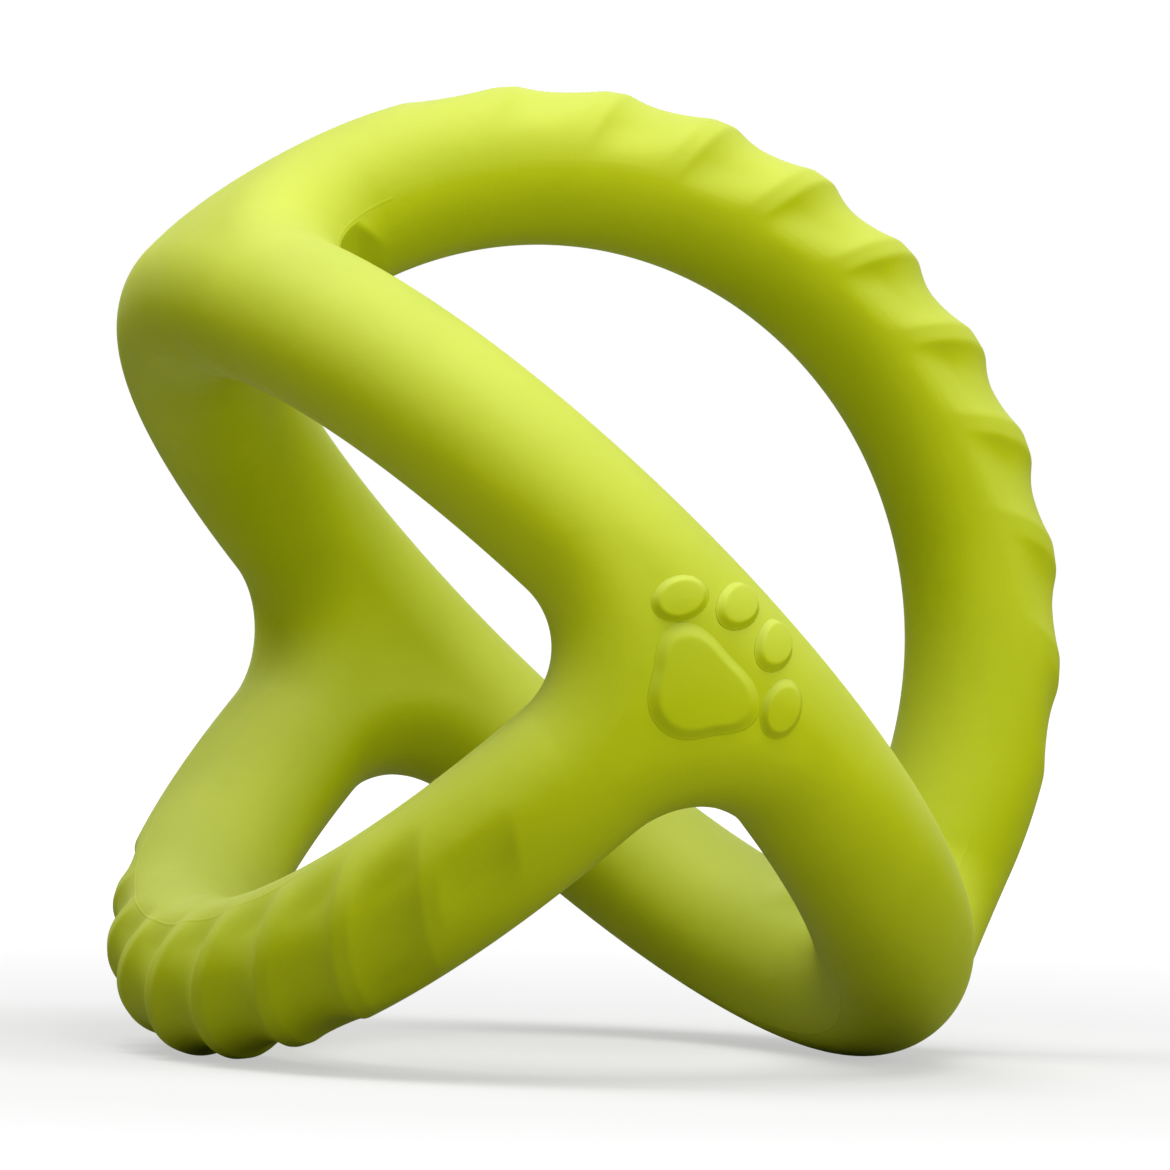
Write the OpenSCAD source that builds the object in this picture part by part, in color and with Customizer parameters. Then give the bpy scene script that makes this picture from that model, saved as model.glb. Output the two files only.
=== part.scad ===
// Rubber chew toy: an open ball of round bars, all of whose centre lines lie on one sphere.
// A full ring girdles the ball. Two half rings, the ribbed grips, spring from it on opposite
// sides at right angles to each other. Four hubs join them, and rounded webs fill their corners.
// The ball stands as it rests on a floor, on the right hub and the lower grip.

/* [Ball] */
// Diameter of the ball that every bar's centre line lies on
ball_d = 126; // [110:1:150]
// Thickness of the round bars
bar_d = 21; // [17:0.5:25]
// Radius of each window's rounded corners
corner_r = 10; // [6:0.5:14]
// Length of plain round bar that each hub keeps past its rounded corners
hub_stub = 1.5; // [0.5:0.5:4]

/* [Ribs] */
// Distance from one rib crest to the next, along the grip's centre line
rib_pitch = 13.7; // [10:0.1:18]
// Depth of the deepest finger trough, near the middle of a grip
rib_depth = 1.6; // [0.6:0.1:2.4]
// How far round the bar the longest troughs reach, in degrees each side of the outermost line
rib_reach = 104; // [60:4:104]
// How far a trough drifts along the centre line in a quarter turn round the bar
rib_lean = 9.2; // [0:0.2:14]

/* [Paw print] */
// Width of the raised paw print, measured along the ring
paw_w = 26; // [18:1:30]
// How far the paw print stands out of the hub
paw_h = 0.8; // [0.4:0.1:1.5]

/* [Hidden] */

ball_r = ball_d / 2;
bar_r = bar_d / 2;
outer_r = ball_r + bar_r;
inner_r = ball_r - bar_r;
// The toy leans by this much about Y when it rests, from the ring lying level
rest_lean = 45;
rubber = [0.66, 0.73, 0.12];

// A rounded corner's centre line is a small circle of the ball: its angular radius, how far
// along each arm it touches the arm's own centre line, and where the hub ends past that
corner_a = asin((corner_r + bar_r) / ball_r);
touch_a = atan2(sin(corner_a), sqrt(1 - 2 * pow(sin(corner_a), 2)));
hub_a = touch_a + hub_stub / ball_r * 180 / PI;

// Facets: half the sides of a bar, rows along a hub's arm, rows from one rib crest to the next
half_sides = 14;
hub_rows = 8;
rib_rows = 8;
round_sides = 64;
arc_sides = 180;

function unit(v) = v / norm(v);

// Hub: its heart, and the directions in which its arms leave along the ball.
// This is the right hub before the toy leans; the other hubs are turned copies of it.
heart = [1, 0, 0];
arms = [[0, 1, 0], [0, 0, 1], [0, -1, 0]];
plain_side = -arms[1];

function on_arm(arm, a) = cos(a) * heart + sin(a) * arm;

// Direction of the middle of the rounded corner between two arms
function corner_eye(p, q) =
  let (s = sin(corner_a)) sqrt(1 - 2 * s * s) * heart + s * (p + q);

// Point and side direction on the centre line of the corner between two arms.
// f runs from 0, where it touches arm p, to 1, where it touches arm q.
function corner_rail(p, q, f) =
  let (
    s = sin(corner_a),
    c = cos(corner_a),
    eye = corner_eye(p, q),
    from = s * on_arm(p, touch_a) - c * q,
    to = s * on_arm(q, touch_a) - c * p,
    turn = acos(from * to),
    spoke = (sin(turn * (1 - f)) * from + sin(turn * f) * to) / sin(turn),
    point = c * eye + s * spoke
  )
  [point, (eye - c * point) / s];

// The edge of arm p that faces arm q, from row 0 at the hub's end to the last row between them
function rail(p, q, row) =
  let (f = (row - 1) / (hub_rows - 1), corner = p * q == 0)
  row == 0 ? [on_arm(p, hub_a), corner ? q : plain_side]
  : corner ? corner_rail(p, q, f / 2)
  : [on_arm(p, touch_a * (1 - f)), plain_side];

web_mid = unit(heart + corner_rail(arms[0], arms[1], 0.5)[0] + corner_rail(arms[2], arms[1], 0.5)[0]);

// The middle of arm i's row, which drifts from the arm's own line to the middle of the web
function row_mid(i, row) =
  let (
    f = max(0, (row - 1) / (hub_rows - 1)),
    near = rail(arms[i], arms[(i + 1) % 3], row)[0],
    far = rail(arms[i], arms[(i + 2) % 3], row)[0]
  )
  unit((1 - f * f) * (near + far) / 2 + f * f * web_mid);

// Point j on the half loop that runs over the outer skin from mid to the edge,
// round the edge as a half circle, and back under the inner skin to mid
function half_loop(mid, edge, j) =
  let (
    c = edge[0],
    gap = norm(c - mid),
    round_len = PI * bar_r,
    far = j / half_sides * (outer_r * gap + round_len + inner_r * gap),
    bend = (far - outer_r * gap) / bar_r * 180 / PI
  )
  bend < 0 ? outer_r * unit(mid + (c - mid) * far / (outer_r * gap))
  : bend <= 180 ? ball_r * c + bar_r * (cos(bend) * c + sin(bend) * edge[1])
  : inner_r * unit(c + (mid - c) * (far - outer_r * gap - round_len) / (inner_r * gap));

function hub_point(i, row, j) =
  let (
    next = rail(arms[i], arms[(i + 1) % 3], row),
    last = rail(arms[i], arms[(i + 2) % 3], row),
    mid = row_mid(i, row)
  )
  j <= half_sides ? half_loop(mid, next, j) : half_loop(mid, last, 2 * half_sides - j);

// Points in order: each arm's rows, the three seams between arms, the outer and inner middles
hub_points = [
  for (i = [0:2], row = [0:hub_rows - 1], j = [0:2 * half_sides - 1]) hub_point(i, row, j),
  for (i = [0:2], j = [1:half_sides - 1]) hub_point(i, hub_rows, j),
  outer_r * web_mid,
  inner_r * web_mid
];
seam_start = 3 * hub_rows * 2 * half_sides;
middle_start = seam_start + 3 * (half_sides - 1);

// Number of a hub point; the last row of each arm is made of the seams that it shares
function hub_index(i, row, j) =
  let (k = j % (2 * half_sides), seam = k < half_sides ? i : (i + 2) % 3)
  row < hub_rows ? (i * hub_rows + row) * 2 * half_sides + k
  : k == 0 ? middle_start
  : k == half_sides ? middle_start + 1
  : seam_start + seam * (half_sides - 1) + (k < half_sides ? k : 2 * half_sides - k) - 1;

hub_faces = [
  for (i = [0:2], row = [0:hub_rows - 1], j = [0:2 * half_sides - 1])
    each [
      [hub_index(i, row, j), hub_index(i, row + 1, j + 1), hub_index(i, row, j + 1)],
      [hub_index(i, row, j), hub_index(i, row + 1, j), hub_index(i, row + 1, j + 1)]
    ],
  for (i = [0:2]) [for (j = [0:2 * half_sides - 1]) hub_index(i, 0, j)]
];

module hub() {
  polyhedron(hub_points, hub_faces);
}

// Grip: rows of points along a half ring, with finger troughs sunk into its outer side.
// The crests are spread evenly from the middle, as many as fit between the hubs.
rib_a = rib_pitch / ball_r * 180 / PI;
lean_a = rib_lean / ball_r * 180 / PI;
rib_half = floor((90 - hub_a) / rib_a);
row_a = rib_a / rib_rows;
rows_half = floor((90 - hub_a) / row_a - 0.5);
grip_rows = [hub_a, for (k = [-rows_half:rows_half]) 90 + k * row_a, 180 - hub_a];
// Share of the pitch that stays plain along each crest
crest_share = 0.2;
// Where across its width a trough is deepest, and the angle round the bar over which it fades out
deepest = 0.43;
fade_a = 36;
// The trough just past a grip's middle is the deepest and longest. Shares of its depth that the
// furthest trough from it has lost, on the upper and on the lower grip, and of its reach.
upper_shallower = 0.58;
lower_shallower = 0.2;
end_shorter = 0.7;

// Depth of the troughs at angle a along the grip and angle t round the bar from its outer line.
// Each is a scoop that drops quickly past one crest, rises slower to the next, and fades out
// round the bar.
function trough(a, t, shallower) =
  let (
    ribs = (a - 90 - lean_a * t / 90) / rib_a - crest_share / 2,
    number = floor(ribs),
    part = (ribs - number) / (1 - crest_share),
    u = part < deepest ? 1 - part / deepest : (part - deepest) / (1 - deepest),
    off = min(1, abs(number) / rib_half),
    reach = rib_reach * (1 - end_shorter * pow(off, 3)),
    left = min(1, max(0, (reach - abs(t)) / fade_a)),
    fade = left * left * (3 - 2 * left),
    bowl = max(0, 1 - u * u) * fade,
    depth = rib_depth * (1 - shallower * off * off * (3 - 2 * off)),
    square_end = min(1, max(0, (90 - hub_a - abs(a - 90)) / row_a))
  )
  number < -rib_half || number >= rib_half ? 0 : depth * bowl * square_end;

// How far a row of points drifts, to follow the troughs, at angle a along and t round;
// the rows turn back on the inner side and stand square at the two ends
function drift(a, t) =
  let (
    back = abs(t) > 90 ? sign(t) * (180 - abs(t)) : t,
    square_end = min(1, (90 - hub_a - abs(a - 90)) / (2 * lean_a + 1))
  )
  lean_a * back / 90 * square_end;

function grip_point(row, t, shallower) =
  let (
    side = t > 180 ? t - 360 : t,
    a = row + drift(row, side),
    out = [-cos(a), 0, sin(a)]
  )
  ball_r * out
  + (bar_r - trough(a, side, shallower)) * (cos(side) * out + sin(side) * [0, 1, 0]);

// Faces of a closed tube of rows, each of so many points
function tube_faces(rows, sides) = [
  for (row = [0:rows - 2], j = [0:sides - 1])
    let (k = (j + 1) % sides)
      each [
        [row * sides + j, row * sides + k, (row + 1) * sides + k],
        [row * sides + j, (row + 1) * sides + k, (row + 1) * sides + j]
      ],
  [for (j = [sides - 1:-1:0]) j],
  [for (j = [0:sides - 1]) (rows - 1) * sides + j]
];

module grip(shallower) {
  sides = 2 * half_sides;
  points = [
    for (row = grip_rows, j = [0:sides - 1]) grip_point(row, j * 180 / half_sides, shallower)
  ];
  polyhedron(points, tube_faces(len(grip_rows), sides));
}

// Plain bar of the ring, from one hub to the next, a quarter turn on
module ring_bar(start) {
  rotate([0, 0, start + hub_a])
    rotate_extrude(angle = 90 - 2 * hub_a, $fn = arc_sides)
      translate([ball_r, 0]) circle(bar_r, $fn = round_sides);
}

// Paw print: four toes and a palm, each a low dome that follows the hub's skin.
// Places are [along the ring, towards the grip], as shares of the paw's width.
paw_root = 0.15;
paw_sides = 20;
palm = [[0, 0.24], [0.27, 0.22], 0];
toes = [
  for (side = [-1, 1])
    each [
      [[side * 0.135, -0.2], [0.095, 0.135], -side * 6],
      [[side * 0.375, 0.01], [0.095, 0.13], -side * 26]
    ]
];
// The domes' rows from underneath to the top: [share of the outline, share of the height]
dome_rows = [[0.5, 0], [1, 0], [1, 0.45], [0.92, 0.85], [0.75, 1], [0.4, 1]];

// Point of the hub's skin: across along the ring, up towards the grip, high above the skin.
// Past the corners' centre lines the skin falls away round the bar.
function skin(across, up, high) =
  let (
    turn = across / outer_r * 180 / PI,
    out = [cos(turn), sin(turn), 0],
    tip = up >= 0 ? up / outer_r * 180 / PI : up / bar_r * 180 / PI,
    lean = cos(tip) * out + sin(tip) * arms[1],
    near = max(lean * corner_eye(arms[0], arms[1]), lean * corner_eye(arms[2], arms[1])),
    past = max(0, corner_a - acos(min(1, near))),
    round_r = bar_r + high,
    reach = ball_r * cos(past) + sqrt(pow(round_r, 2) - pow(ball_r * sin(past), 2))
  )
  up >= 0 ? reach * lean : ball_r * out + round_r * lean;

// The palm narrows towards the toes and bulges at two corners away from them,
// and a toe is a plain oval
function outline(t, lobed) = lobed ? 1 - 0.14 * sin(3 * t) : 1;

function pad_point(pad, lobed, share, high, t) =
  let (
    r = share * outline(t, lobed) * paw_w,
    p = [r * pad[1][0] * cos(t), r * pad[1][1] * sin(t)],
    turned = [p[0] * cos(pad[2]) - p[1] * sin(pad[2]), p[0] * sin(pad[2]) + p[1] * cos(pad[2])]
  )
  skin(pad[0][0] * paw_w + turned[0], pad[0][1] * paw_w + turned[1], high);

module pad(pad, lobed) {
  points = [
    for (row = dome_rows, j = [0:paw_sides - 1])
      pad_point(pad, lobed, row[0], row[1] * (paw_h + paw_root) - paw_root, -j * 360 / paw_sides)
  ];
  polyhedron(points, tube_faces(len(dome_rows), paw_sides));
}

// Lean the ball into its resting place, and set its foot on the floor
module rest() {
  color(rubber)
    translate([-ball_r * (1 - cos(rest_lean)) / 2, 0, ball_r * sin(rest_lean) + bar_r])
      rotate([0, rest_lean, 0])
        children();
}

// Turn a piece of the upper half on to the lower half, so that +X comes to the front or back
module to_front() {
  rotate(a = 180, v = [1, -1, 0]) children();
}

module to_back() {
  rotate(a = 180, v = [1, 1, 0]) children();
}

module upper_grip() { rest() grip(upper_shallower); }
module lower_grip() { rest() to_back() grip(lower_shallower); }
module right_hub() { rest() hub(); }
module left_hub() { rest() rotate([0, 0, 180]) hub(); }
module front_hub() { rest() to_front() hub(); }
module back_hub() { rest() to_back() hub(); }
module front_left_bar() { rest() ring_bar(180); }
module front_right_bar() { rest() ring_bar(270); }
module back_right_bar() { rest() ring_bar(0); }
module back_left_bar() { rest() ring_bar(90); }

module paw_print() {
  rest() to_front() {
    pad(palm, true);
    for (toe = toes) pad(toe, false);
  }
}

upper_grip();
lower_grip();
left_hub();
right_hub();
front_hub();
back_hub();
front_left_bar();
front_right_bar();
back_right_bar();
back_left_bar();
paw_print();
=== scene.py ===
"""Looks of a rubber chew toy: an open ball of round bars with two ribbed grips, one moulding."""

import math

import bpy
import numpy as np
from mathutils import Euler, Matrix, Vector


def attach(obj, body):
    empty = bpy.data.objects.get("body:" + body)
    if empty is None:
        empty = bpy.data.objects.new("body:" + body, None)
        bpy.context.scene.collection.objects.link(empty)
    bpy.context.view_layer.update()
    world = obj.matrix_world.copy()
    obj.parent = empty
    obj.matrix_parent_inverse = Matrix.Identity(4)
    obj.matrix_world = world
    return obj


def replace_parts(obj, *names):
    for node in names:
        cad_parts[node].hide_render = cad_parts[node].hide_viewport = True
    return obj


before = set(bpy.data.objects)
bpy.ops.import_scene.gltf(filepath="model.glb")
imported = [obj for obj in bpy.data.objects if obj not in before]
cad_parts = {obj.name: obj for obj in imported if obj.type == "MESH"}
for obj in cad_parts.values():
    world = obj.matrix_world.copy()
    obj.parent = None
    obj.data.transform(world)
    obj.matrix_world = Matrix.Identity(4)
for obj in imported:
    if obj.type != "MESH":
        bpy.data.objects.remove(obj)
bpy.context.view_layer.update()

# How the toy leans as it rests, and sizes of the moulding in millimetres, the same as in the
# CAD source
REST_LEAN = math.radians(45)
BALL_R = 63.0
BAR_R = 10.5
CORNER_R = 10.0
HUB_STUB = 1.5
RIB_PITCH = 13.7
RIB_DEPTH = 1.6
RIB_LEAN = 9.2
PAW_W = 26.0
PAW_H = 0.8

# Finger troughs: the share of a pitch that a crest takes, and the share of a trough's width
# at which it is deepest
CREST_SHARE = 0.2
DEEPEST = 0.43

# Where a trough ends, in degrees round the bar, and over how many degrees it fades out there
RIB_REACH = 104.0
RIB_FADE = 36.0

# Shares by which the troughs get shallower and shorter towards a grip's ends
UPPER_SHALLOWER = 0.58
LOWER_SHALLOWER = 0.2
END_SHORTER = 0.7

# Half widths of the blends between a trough and the crests beside it, as shares of its
# depth: where it drops and where it rises
DROP_SOFT = 0.18
RISE_SOFT = 0.12

# The parting line: a fine raised rim along the windows' edges. These shares of its height
# show round the upper two windows and round the lower ones, and none on the upper grip
RIM_H = 0.09
RIM_W = 0.28
UPPER_RIM = 0.4
LOWER_RIM = 0.6
NO_RIM = 0

# The core's cut: in the left hub's corners the mould's core leaves a flat on the inner side,
# with a crisp edge just past the parting line. Its middle and half width are angles round the
# bar. It is whole from this share of the way from an arm to the corner's middle
CUT_MID = math.radians(127)
CUT_HALF = math.radians(34)
CUT_FULL = 0.65

# Shares of the core's cut: the left hub has it, and the others have none
CUT = 1
NO_CUT = 0

MM_PER_METRE = 1000
QUARTER = math.pi / 2
OUTER_R = BALL_R + BAR_R
INNER_R = BALL_R - BAR_R

# Angles at the ball's middle. A corner's centre line is a circle round its eye, CORNER_A
# away. It touches a bar's centre line TOUCH_A from the hub's heart, and the hub ends at HUB_A
CORNER_A = math.asin((CORNER_R + BAR_R) / BALL_R)
TOUCH_A = math.atan2(math.sin(CORNER_A), math.sqrt(1 - 2 * math.sin(CORNER_A) ** 2))
HUB_A = TOUCH_A + HUB_STUB / BALL_R
GRIP_HALF = QUARTER - HUB_A
RIB_A = RIB_PITCH / BALL_R
LEAN_A = RIB_LEAN / BALL_R

# How many whole troughs there is room for on half a grip
RIB_HALF = math.floor(GRIP_HALF / RIB_A)

X, Y, Z = np.eye(3)


def unit(vectors):
    """The vectors at length 1."""
    return vectors / np.linalg.norm(vectors, axis=-1, keepdims=True)


def smooth(share):
    """0 to 1 with level ends."""
    share = np.clip(share, 0, 1)
    return share * share * (3 - 2 * share)


def turn_about(axis, angle):
    """Rotation matrix about a unit axis."""
    cross = np.array(
        [[0, -axis[2], axis[1]], [axis[2], 0, -axis[0]], [-axis[1], axis[0], 0]]
    )
    return np.eye(3) + math.sin(angle) * cross + (1 - math.cos(angle)) * cross @ cross


def rim(off, share):
    """Height of the parting line's rim at a distance from its middle."""
    return share * RIM_H * np.clip(1 - (off / RIM_W) ** 2, 0, 1) ** 2


def core_cut(bend, share):
    """Depth of the core's cut at angle bend from a bar's outermost line."""
    half = CUT_HALF * share
    flat = BAR_R * (1 - np.cos(half) / np.cos(np.clip(bend - CUT_MID, -half, 0)))
    return flat * smooth((math.pi - bend) / (math.pi - CUT_MID))


# Angles round half a bar, from its outermost line to its innermost, closer together
# beside the parting line at the middle of that half
CLOSE = np.radians([0, 0.45, 0.9, 1.4, 1.9, 2.4, 3.2])
NEAR = CLOSE[-1]
WIDE_STEPS = 26
OFF_LINE = np.concatenate([CLOSE, np.linspace(NEAR, QUARTER, WIDE_STEPS + 1)[1:]])
BEND = np.concatenate([QUARTER - OFF_LINE[::-1], QUARTER + OFF_LINE[1:]])
HALF = len(BEND) - 1
SIDES = 2 * HALF

# Hub: its heart is on X, its three arms leave along the ball in these directions, and the
# fourth side has no arm
ARMS = np.array([Y, Z, -Y])
PLAIN_SIDE = -Z

# Places of an arm's rows: below 0 on the plain stub, then 0 to 1 along the rounded corners
STUB_ROWS = 3
CORNER_ROWS = 34
ROW_PLACE = np.concatenate(
    [np.linspace(-1, 0, STUB_ROWS + 1)[:-1], np.linspace(0, 1, CORNER_ROWS + 1)]
)
CORNER_SHARE = np.maximum(ROW_PLACE, 0)
ROWS = len(ROW_PLACE) - 1


def on_arm(arm, angle):
    """Direction at an angle from the hub's heart along an arm."""
    angle = np.asarray(angle)[..., None]
    return np.cos(angle) * X + np.sin(angle) * arm


def corner_eye(p, q):
    """Direction of the middle of the rounded corner between arms p and q."""
    sine = math.sin(CORNER_A)
    return math.sqrt(1 - 2 * sine * sine) * X + sine * (p + q)


def corner_rail(p, q, share):
    """Points and side directions on the centre line of the corner between arms p and q."""
    sine, cosine = math.sin(CORNER_A), math.cos(CORNER_A)
    eye = corner_eye(p, q)
    start = sine * on_arm(p, TOUCH_A) - cosine * q
    end = sine * on_arm(q, TOUCH_A) - cosine * p
    turn = math.acos(start @ end)
    share = np.asarray(share)[..., None]
    spoke = (np.sin(turn * (1 - share)) * start + np.sin(turn * share) * end) / math.sin(turn)
    point = cosine * eye + sine * spoke
    return point, (eye - cosine * point) / sine


def is_corner(p, q):
    """Whether arms p and q stand square to each other, and don't run on in one line."""
    return abs(p @ q) < 0.5


def rail(p, q):
    """The edge of arm p that faces arm q, at every row."""
    on_stub = ROW_PLACE < 0
    stub = TOUCH_A + (HUB_A - TOUCH_A) * -np.minimum(ROW_PLACE, 0)
    plain = on_arm(p, np.where(on_stub, stub, TOUCH_A * (1 - CORNER_SHARE)))
    if not is_corner(p, q):
        return plain, np.tile(PLAIN_SIDE, (ROWS + 1, 1))
    point, side = corner_rail(p, q, CORNER_SHARE / 2)
    on_stub = on_stub[:, None]
    return np.where(on_stub, plain, point), np.where(on_stub, q, side)


# The middle of the web, where the three arms' outer skins meet
WEB_MID = unit(
    X
    + corner_rail(ARMS[0], ARMS[1], 0.5)[0]
    + corner_rail(ARMS[2], ARMS[1], 0.5)[0]
)


# Least gap between an arm's middle and its edge, which are one line on the round stub
TINY = 1e-9


def half_loops(mid, edge, side, rim_share, cut_share):
    """Rows of points from mid over the outer skin, round the edge and back under the inner."""
    mid, edge, side = mid[:, None], edge[:, None], side[:, None]
    gap = np.maximum(np.linalg.norm(edge - mid, axis=2), TINY)
    off = np.abs(BEND - QUARTER)
    stretch = np.clip((off - NEAR) / (QUARTER - NEAR), 0, 1)
    skin_r = np.where(BEND < QUARTER, OUTER_R, INNER_R)
    along = BAR_R * off + skin_r * gap * stretch
    round_len = BAR_R * QUARTER
    turned = np.minimum(along / BAR_R, QUARTER)
    bend = QUARTER + np.sign(BEND - QUARTER) * turned
    out = np.cos(bend)[..., None] * edge + np.sin(bend)[..., None] * side
    round_r = BAR_R + rim(BAR_R * off, rim_share) - core_cut(bend, cut_share)
    rounded = BALL_R * edge + round_r[..., None] * out
    share = np.maximum(along - round_len, 0) / (skin_r * gap)
    flat = skin_r[:, None] * unit(edge + (mid - edge) * share[..., None])
    return np.where((along < round_len)[..., None], rounded, flat)


def hub_mesh(corner_rim, plain_rim, cut):
    """Points, skin faces and cap faces of a hub whose heart is on X."""
    cut_rows = cut * smooth(ROW_PLACE / CUT_FULL)[:, None]
    blend = (CORNER_SHARE * CORNER_SHARE)[:, None]

    def edge_shares(p, q):
        """Shares of the parting line's rim and of the core's cut along an edge."""
        return (corner_rim, cut_rows) if is_corner(p, q) else (plain_rim, NO_CUT)

    loops = []
    for i in range(3):
        after, before = ARMS[(i + 1) % 3], ARMS[(i + 2) % 3]
        near, near_side = rail(ARMS[i], after)
        far, far_side = rail(ARMS[i], before)
        mid = unit((1 - blend) * (near + far) / 2 + blend * WEB_MID)
        one = half_loops(mid, near, near_side, *edge_shares(ARMS[i], after))
        other = half_loops(mid, far, far_side, *edge_shares(ARMS[i], before))
        loops.append(np.concatenate([one, other[:, -2:0:-1]], axis=1))
    loops = np.array(loops)
    points = list(loops[:, :ROWS].reshape(-1, 3))
    seam_start = len(points)
    for i in range(3):
        points.extend(loops[i, ROWS, 1:HALF])
    middle = len(points)
    points.extend([OUTER_R * WEB_MID, INNER_R * WEB_MID])

    def index(i, row, j):
        """Number of a point; two arms share the seam between their last rows."""
        k = j % SIDES
        if row < ROWS:
            return (i * ROWS + row) * SIDES + k
        if k in (0, HALF):
            return middle + (k == HALF)
        seam = i if k < HALF else (i + 2) % 3
        return seam_start + seam * (HALF - 1) + (k if k < HALF else SIDES - k) - 1

    skin = [
        (index(i, r, j), index(i, r, j + 1), index(i, r + 1, j + 1), index(i, r + 1, j))
        for i in range(3)
        for r in range(ROWS)
        for j in range(SIDES)
    ]
    caps = [[index(i, 0, j) for j in range(SIDES)][::-1] for i in range(3)]
    return np.array(points), skin, caps


def tube_mesh(loops):
    """Points, skin faces and cap faces of a closed tube made of loops of points."""
    rows, sides = loops.shape[:2]
    skin = [
        (
            r * sides + j,
            r * sides + (j + 1) % sides,
            (r + 1) * sides + (j + 1) % sides,
            (r + 1) * sides + j,
        )
        for r in range(rows - 1)
        for j in range(sides)
    ]
    caps = [list(range(sides))[::-1], list(range((rows - 1) * sides, rows * sides))]
    return loops.reshape(-1, 3), skin, caps


# Angles all round a bar from its outermost line, and their distance from a parting line
ROUND = np.concatenate([BEND, -BEND[-2:0:-1]])
ROUND_OFF = BAR_R * np.abs(np.abs(ROUND) - QUARTER)
BAR_ROWS = 48


def bar_mesh(start):
    """A plain bar of the ring, a quarter turn from hub to hub."""
    angle = np.linspace(start + HUB_A, start + QUARTER - HUB_A, BAR_ROWS)[:, None, None]
    out = np.cos(angle) * X + np.sin(angle) * Y
    bend = ROUND[None, :, None]
    radius = BAR_R + rim(ROUND_OFF, np.where(ROUND > 0, LOWER_RIM, UPPER_RIM))
    radius = radius[None, :, None]
    return tube_mesh(BALL_R * out + radius * (np.cos(bend) * out - np.sin(bend) * Z))


# Rows of a grip from one rib crest to the next, the angle over which a trough fades out at a
# grip's end, and how many leans from that end the rows take to stand square
RIB_ROWS = 32
END_FADE = math.radians(2)
SQUARE_OVER = 1.25


def trough(angle, bend, shallower):
    """Depth of the finger troughs at an angle along the grip and a bend round the bar.

    Each is a scoop that drops quickly past one crest and rises slower to the next."""
    pitches = (angle - QUARTER - LEAN_A * bend / QUARTER) / RIB_A
    number = np.floor(pitches)
    from_middle = np.minimum(np.abs(number) / RIB_HALF, 1)
    across = (pitches - number - CREST_SHARE / 2) / (1 - CREST_SHARE)
    drops = across < DEEPEST
    off = (across - DEEPEST) / np.where(drops, DEEPEST, 1 - DEEPEST)
    bowl = 1 - off * off
    soft = np.where(drops, DROP_SOFT, RISE_SOFT)
    bowl = np.where(bowl > soft, bowl, np.maximum(bowl + soft, 0) ** 2 / (4 * soft))
    reach = RIB_REACH * (1 - END_SHORTER * from_middle**3)
    left = (reach - np.degrees(np.abs(bend))) / RIB_FADE
    room = GRIP_HALF - np.abs(angle - QUARTER)
    inside = (np.abs(number + 0.5) < RIB_HALF) * smooth(room / END_FADE)
    depth = RIB_DEPTH * (1 - shallower * smooth(from_middle))
    return inside * depth * bowl * smooth(left)


def grip_mesh(rim_share, shallower):
    """The upper grip, from the left hub over the top to the right hub."""
    count = math.ceil((math.pi - 2 * HUB_A) / RIB_A * RIB_ROWS)
    row = np.linspace(HUB_A, math.pi - HUB_A, count)[:, None]
    bend = ROUND[None, :]
    folded = np.sign(bend) * (math.pi - np.abs(bend))
    back = np.where(np.abs(bend) > QUARTER, folded, bend)
    # Rows follow the troughs' lean, and stand square at the grip's two ends
    room = GRIP_HALF - np.abs(row - QUARTER)
    leaning = np.minimum(1, room / (SQUARE_OVER * LEAN_A))
    angle = row + LEAN_A * back / QUARTER * leaning
    radius = BAR_R - trough(angle, bend, shallower) + rim(ROUND_OFF, rim_share)
    angle, bend, radius = angle[..., None], bend[..., None], radius[..., None]
    out = -np.cos(angle) * X + np.sin(angle) * Z
    loops = BALL_R * out + radius * (np.cos(bend) * out + np.sin(bend) * Y)
    return tube_mesh(loops[:, ::-1])


def skin_point(across, up, high):
    """Point above the hub's outer skin, at a place along the ring and towards the grip."""
    turn = (across / OUTER_R)[..., None]
    out = np.cos(turn) * X + np.sin(turn) * Y
    tip = np.where(up >= 0, up / OUTER_R, up / BAR_R)[..., None]
    lean = np.cos(tip) * out + np.sin(tip) * Z
    # Past the corners' centre lines the skin falls away round the bar
    near_eye = np.maximum(lean @ corner_eye(Y, Z), lean @ corner_eye(-Y, Z))
    past = np.maximum(0, CORNER_A - np.arccos(np.clip(near_eye, -1, 1)))
    round_r = BAR_R + high
    reach = BALL_R * np.cos(past) + np.sqrt(round_r**2 - (BALL_R * np.sin(past)) ** 2)
    on_bar = BALL_R * out + round_r[..., None] * lean
    return np.where((up >= 0)[..., None], reach[..., None] * lean, on_bar)


# Rows of a pad of the paw print, as shares of its width: its hidden root, the slope that
# flares at its foot, and its top
PAD_FOOT = 1.14
SLOPE_TOP = 0.8
ROOT_ROWS = [0.5, 0.9]
SLOPE_ROWS = [PAD_FOOT, 1.1, 1.06, 1.02, 0.98, 0.94, 0.9, 0.86]
TOP_ROWS = [SLOPE_TOP, 0.7, 0.55, 0.38, 0.2, 0.06]
PAD_ROWS = np.array(ROOT_ROWS + SLOPE_ROWS + TOP_ROWS)
PAD_SIDES = 96

# Width of the slope and place of the crown's edge, as shares of a pad's width, and height of
# the crown as a share of the pad's
SLOPE_W = 0.3
CROWN_EDGE = 0.84
CROWN_H = 0.1

# How far a pad's foot and its root lie under the skin, in millimetres
FOOT_SUNK = 0.02
ROOT_SUNK = 0.3

# A toe's slope takes a larger share of its width than the middle pad's does, and the middle
# pad has three lobes
TOE_SLOPE = 1.3
LOBE = 0.14

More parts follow.
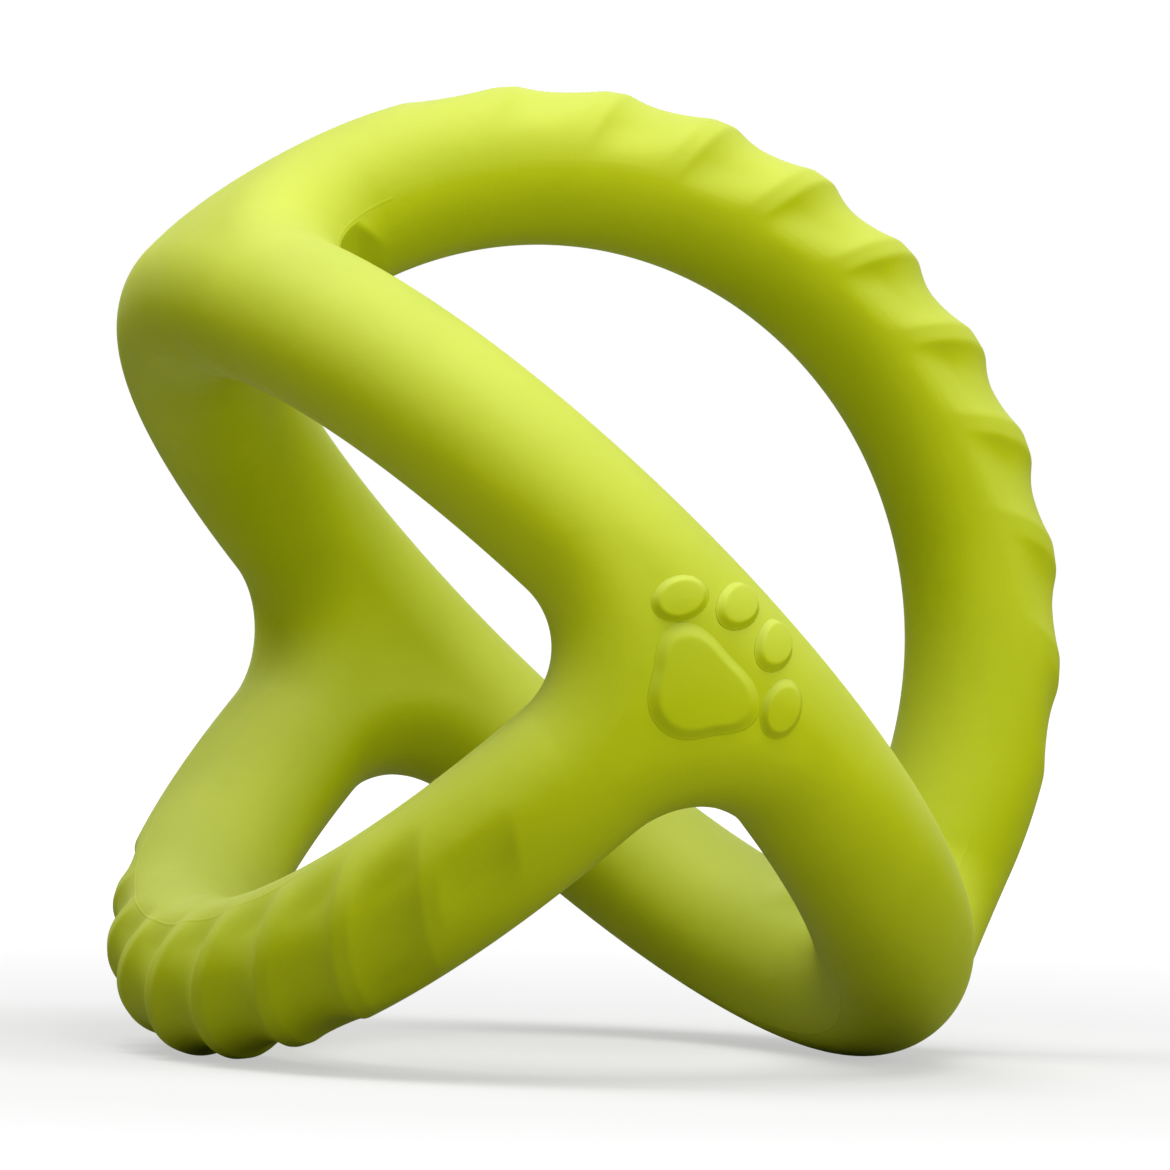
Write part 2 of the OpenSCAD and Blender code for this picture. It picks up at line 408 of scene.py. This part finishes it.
# Place and half size of the middle pad and of the two toes of one side, as shares of the
# print's width, and a toe's tilt in degrees
MIDDLE_PAD = ((0, 0.24), (0.27, 0.22))
TOES = (
    ((0.135, -0.2), (0.095, 0.135), 6),
    ((0.375, 0.01), (0.095, 0.13), 26),
)


def pad_mesh(place, size, tilt, lobed):
    """A pad of the paw print: a low dome whose foot flares into the hub's skin."""
    edge = smooth((PAD_FOOT - PAD_ROWS) / SLOPE_W)
    crown = 1 + CROWN_H * np.clip(1 - (PAD_ROWS / CROWN_EDGE) ** 2, 0, 1)
    high = PAW_H * edge * crown - FOOT_SUNK
    high[: len(ROOT_ROWS)] = -ROOT_SUNK
    spread = 1.0 if lobed else TOE_SLOPE
    slope = 1 + (PAD_ROWS - 1) * spread
    top = PAD_ROWS / SLOPE_TOP * (1 + (SLOPE_TOP - 1) * spread)
    flare = np.where(PAD_ROWS < SLOPE_TOP, top, slope)[:, None]
    turn = np.linspace(0, 2 * math.pi, PAD_SIDES, endpoint=False)[None, :]
    radius = flare * (1 - (LOBE * np.sin(3 * turn) if lobed else 0)) * PAW_W
    wide, tall = radius * size[0] * np.cos(turn), radius * size[1] * np.sin(turn)
    cosine, sine = math.cos(tilt), math.sin(tilt)
    across = place[0] * PAW_W + wide * cosine - tall * sine
    up = place[1] * PAW_W + wide * sine + tall * cosine
    return tube_mesh(skin_point(across, up, high[:, None]))


def paw_mesh():
    """The paw print: a lobed middle pad, and two toes on each side."""
    pads = [pad_mesh(*MIDDLE_PAD, 0, True)]
    for side in (-1, 1):
        for (across, up), size, tilt in TOES:
            turned = math.radians(-side * tilt)
            pads.append(pad_mesh((side * across, up), size, turned, False))
    points, skin, caps = [], [], []
    for pad_points, pad_skin, pad_caps in pads:
        first = sum(len(done) for done in points)
        points.append(pad_points)
        skin += [tuple(first + i for i in face) for face in pad_skin]
        caps += [[first + i for i in cap] for cap in pad_caps]
    return np.concatenate(points), skin, caps


# The turn that leans the ball as it rests, and where its middle is then
LEAN = turn_about(Y, REST_LEAN)
MIDDLE_X = -BALL_R * (1 - math.cos(REST_LEAN)) / 2
MIDDLE_Z = BALL_R * math.sin(REST_LEAN) + BAR_R
MIDDLE = np.array([MIDDLE_X, 0, MIDDLE_Z])

# Turns that take the hub on X, or the upper grip, to its other places
STAY = np.eye(3)
TO_LEFT = turn_about(Z, math.pi)
TO_FRONT = turn_about(unit(X - Y), math.pi)
TO_BACK = turn_about(unit(X + Y), math.pi)


def vertex_normals(points, faces):
    """Unit normals of the points, each the sum of its faces' normals weighted by area."""
    corners = np.array(faces)
    one_way = points[corners[:, 2]] - points[corners[:, 0]]
    other_way = points[corners[:, 3]] - points[corners[:, 1]]
    face_normals = np.cross(one_way, other_way)
    total = np.zeros_like(points)
    for k in range(4):
        np.add.at(total, corners[:, k], face_normals)
    return unit(total)


def piece(name, made, turn, material, domed):
    """Makes a mesh object of the moulding that stands for the CAD node of the same name."""
    points, skin, caps = made
    placed = (points @ turn.T @ LEAN.T + MIDDLE) / MM_PER_METRE
    mesh = bpy.data.meshes.new(name)
    mesh.from_pydata(placed.tolist(), [], [list(face) for face in skin] + caps)
    mesh.update()
    mesh.shade_smooth()
    normals = vertex_normals(placed, skin)
    split = np.empty((len(mesh.loops), 3))
    skin_corners = 4 * len(skin)
    start = skin_corners
    for k, cap in enumerate(caps):
        end = start + len(cap)
        flat = np.array(mesh.polygons[len(skin) + k].normal)
        rim_normals = normals[cap]
        if domed:
            # The top of a pad is one smooth dome
            split[start:end] = rim_normals
        else:
            # A cut is square to the bar, so the skin's normals there lie in its plane
            split[start:end] = flat
            normals[cap] = unit(rim_normals - (rim_normals @ flat)[:, None] * flat)
        start = end
    split[:skin_corners] = normals[np.array(skin).ravel()]
    mesh.normals_split_custom_set(split.tolist())
    mesh.materials.append(material)
    obj = bpy.data.objects.new(name, mesh)
    bpy.context.scene.collection.objects.link(obj)
    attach(obj, "root")
    return obj


def node_material(name):
    """A new material with its nodes and links."""
    material = bpy.data.materials.new(name)
    material.use_nodes = True
    return material, material.node_tree.nodes, material.node_tree.links


def ranged(nodes, links, value, start, end, low, high):
    """The value of a socket from start to end, mapped to low to high."""
    node = nodes.new("ShaderNodeMapRange")
    for name, number in (
        ("From Min", start),
        ("From Max", end),
        ("To Min", low),
        ("To Max", high),
    ):
        node.inputs[name].default_value = number
    links.new(value, node.inputs["Value"])
    return node.outputs["Result"]


# The rubber's colour varies between these two, and its roughness between these, over the
# middle of the noise's range
RUBBER_DEEP = (0.440, 0.510, 0.002, 1)
RUBBER_LIGHT = (0.485, 0.550, 0.005, 1)
SATIN = (0.5, 0.6)
NOISE_RANGE = (0.3, 0.7)

# Painted highlight: this is added to the colour of a face that looks straight up, so that tops
# lit from above come out paler, and less to the others, down to none where the upward part of
# the face's normal is this
PAINTED_TOP_PALENESS = (0, 0, 0.084, 1)
NO_PAINTED_PALENESS = -0.1


def rubber():
    """Satin moulded rubber, yellow-green, with a fine speckle from the mould."""
    material, nodes, links = node_material("satin_rubber")
    shader = nodes["Principled BSDF"]
    place = nodes.new("ShaderNodeTexCoord").outputs["Object"]

    def noise(scale, detail):
        """Noise through the solid, with scale patches to the metre."""
        node = nodes.new("ShaderNodeTexNoise")
        node.inputs["Scale"].default_value = scale
        node.inputs["Detail"].default_value = detail
        links.new(place, node.inputs["Vector"])
        return node.outputs["Fac"]

    def mixed(factor, colour):
        """A mix of the colour at its socket A with this one, by a factor."""
        node = nodes.new("ShaderNodeMix")
        node.data_type = "RGBA"
        node.inputs["B"].default_value = colour
        links.new(factor, node.inputs["Factor"])
        return node

    def bump(strength, distance, height):
        """Normals tilted by a height, whose full range is a distance in metres."""
        node = nodes.new("ShaderNodeBump")
        node.inputs["Strength"].default_value = strength
        node.inputs["Distance"].default_value = distance
        links.new(height, node.inputs["Height"])
        return node

    patches = mixed(ranged(nodes, links, noise(45, 3), *NOISE_RANGE, 0, 1), RUBBER_LIGHT)
    patches.inputs["A"].default_value = RUBBER_DEEP

    # Painted highlight: faces that look up are made paler in their base colour, as the light
    # from above would make them
    facing = nodes.new("ShaderNodeSeparateXYZ")
    links.new(nodes.new("ShaderNodeNewGeometry").outputs["Normal"], facing.inputs[0])
    painted_top_paleness = mixed(ranged(nodes, links, facing.outputs["Z"], NO_PAINTED_PALENESS, 1, 0, 1), PAINTED_TOP_PALENESS)
    painted_top_paleness.blend_type = "ADD"
    links.new(patches.outputs["Result"], painted_top_paleness.inputs["A"])
    links.new(painted_top_paleness.outputs["Result"], shader.inputs["Base Color"])

    satin = ranged(nodes, links, noise(160, 4), *NOISE_RANGE, *SATIN)
    links.new(satin, shader.inputs["Roughness"])
    shader.inputs["Specular IOR Level"].default_value = 0.08

    grain = bump(0.35, 0.00004, noise(2600, 2))
    ripple = bump(0.25, 0.0003, noise(260, 2))
    links.new(grain.outputs["Normal"], ripple.inputs["Normal"])
    links.new(ripple.outputs["Normal"], shader.inputs["Normal"])
    return material


rubber_material = rubber()
lower_hub = hub_mesh(LOWER_RIM, UPPER_RIM, NO_CUT)
PIECES = [
    ("upper_grip", grip_mesh(NO_RIM, UPPER_SHALLOWER), STAY),
    ("lower_grip", grip_mesh(LOWER_RIM, LOWER_SHALLOWER), TO_BACK),
    ("left_hub", hub_mesh(UPPER_RIM, LOWER_RIM, CUT), TO_LEFT),
    ("right_hub", hub_mesh(UPPER_RIM, LOWER_RIM, NO_CUT), STAY),
    ("front_hub", lower_hub, TO_FRONT),
    ("back_hub", lower_hub, TO_BACK),
    ("front_left_bar", bar_mesh(2 * QUARTER), STAY),
    ("front_right_bar", bar_mesh(3 * QUARTER), STAY),
    ("back_right_bar", bar_mesh(0), STAY),
    ("back_left_bar", bar_mesh(QUARTER), STAY),
    ("paw_print", paw_mesh(), TO_FRONT),
]
for node, made, turn in PIECES:
    domed = node == "paw_print"
    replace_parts(piece(node + "_rubber", made, turn, rubber_material, domed), node)

WHITE = (1, 1, 1, 1)

# Plain pale floor, white to the camera except where the toy shades it. Its glow is seen by
# the camera alone, and grows from one strength to the other between these distances in metres
FLOOR_HALF = 6.0
FLOOR_GREY = (0.3, 0.3, 0.3, 1)
GLOW_WHERE = (0.12, 0.7)
GLOW_STRENGTH = (0.5, 1.0)
floor_mesh = bpy.data.meshes.new("floor")
corners = [(-1, -1), (1, -1), (1, 1), (-1, 1)]
floor_mesh.from_pydata(
    [(x * FLOOR_HALF, y * FLOOR_HALF, 0) for x, y in corners], [], [(0, 1, 2, 3)]
)
floor = bpy.data.objects.new("floor", floor_mesh)
bpy.context.scene.collection.objects.link(floor)
floor_pale, nodes, links = node_material("floor_pale")
shader = nodes["Principled BSDF"]
shader.inputs["Base Color"].default_value = FLOOR_GREY
shader.inputs["Roughness"].default_value = 0.9
shader.inputs["Specular IOR Level"].default_value = 0.0
shader.inputs["Emission Color"].default_value = WHITE
distance = nodes.new("ShaderNodeVectorMath")
distance.operation = "LENGTH"
links.new(nodes.new("ShaderNodeTexCoord").outputs["Object"], distance.inputs[0])
glow = ranged(nodes, links, distance.outputs["Value"], *GLOW_WHERE, *GLOW_STRENGTH)
seen_glow = nodes.new("ShaderNodeMath")
seen_glow.operation = "MULTIPLY"
links.new(nodes.new("ShaderNodeLightPath").outputs["Is Camera Ray"], seen_glow.inputs[0])
links.new(glow, seen_glow.inputs[1])
links.new(seen_glow.outputs[0], shader.inputs["Emission Strength"])
floor_mesh.materials.append(floor_pale)

# World: soft grey light all round, and white where it is seen, straight or in gloss or glass
WORLD_LIGHT = 0.15
WORLD_SEEN = 1.0
world = bpy.data.worlds.new("studio")
bpy.context.scene.world = world
world.use_nodes = True
nodes, links = world.node_tree.nodes, world.node_tree.links
background = nodes["Background"]
background.inputs["Color"].default_value = WHITE
path = nodes.new("ShaderNodeLightPath")
seen = path.outputs["Is Camera Ray"]
for name in ("Is Glossy Ray", "Is Transmission Ray"):
    add = nodes.new("ShaderNodeMath")
    links.new(seen, add.inputs[0])
    links.new(path.outputs[name], add.inputs[1])
    seen = add.outputs[0]
level = ranged(nodes, links, seen, 0, 1, WORLD_LIGHT, WORLD_SEEN)
links.new(level, background.inputs["Strength"])

# Square softboxes of one size, all at one distance from the toy's middle, in metres
SOFTBOX_SIZE = 0.7
SOFTBOX_AWAY = 1.2
SOFTBOX_AIM = Vector((0, 0, 0.06))


def softbox(name, azimuth, elevation, watts):
    """An area lamp that faces the toy; azimuth 0 is the front, 90 the right."""
    lamp = bpy.data.lights.new(name, "AREA")
    lamp.shape = "SQUARE"
    lamp.size = SOFTBOX_SIZE
    lamp.energy = watts
    obj = bpy.data.objects.new(name, lamp)
    turn, rise = math.radians(azimuth), math.radians(elevation)
    level = math.cos(rise)
    away = Vector((math.sin(turn) * level, -math.cos(turn) * level, math.sin(rise)))
    obj.location = SOFTBOX_AIM + away * SOFTBOX_AWAY
    obj.rotation_euler = away.to_track_quat("Z", "Y").to_euler()
    bpy.context.scene.collection.objects.link(obj)


softbox("key_softbox", 10, 68, 10.7)
softbox("side_softbox", -110, 68, 9.2)
softbox("front_softbox", -15, 20, 3.6)
softbox("right_softbox", 40, 20, 4.4)

# Camera at the photograph's viewpoint
lens = bpy.data.cameras.new("photo_camera")
lens.sensor_width = 36
lens.lens = 283.85
camera = bpy.data.objects.new("photo_camera", lens)
camera.location = (-0.41131, -1.15419, 0.07295)
camera.rotation_euler = Euler(
    (math.radians(89.5142), math.radians(-0.9254), math.radians(-19.4663))
)
bpy.context.scene.collection.objects.link(camera)
bpy.context.scene.camera = camera

bpy.context.scene.view_settings.view_transform = "Standard"
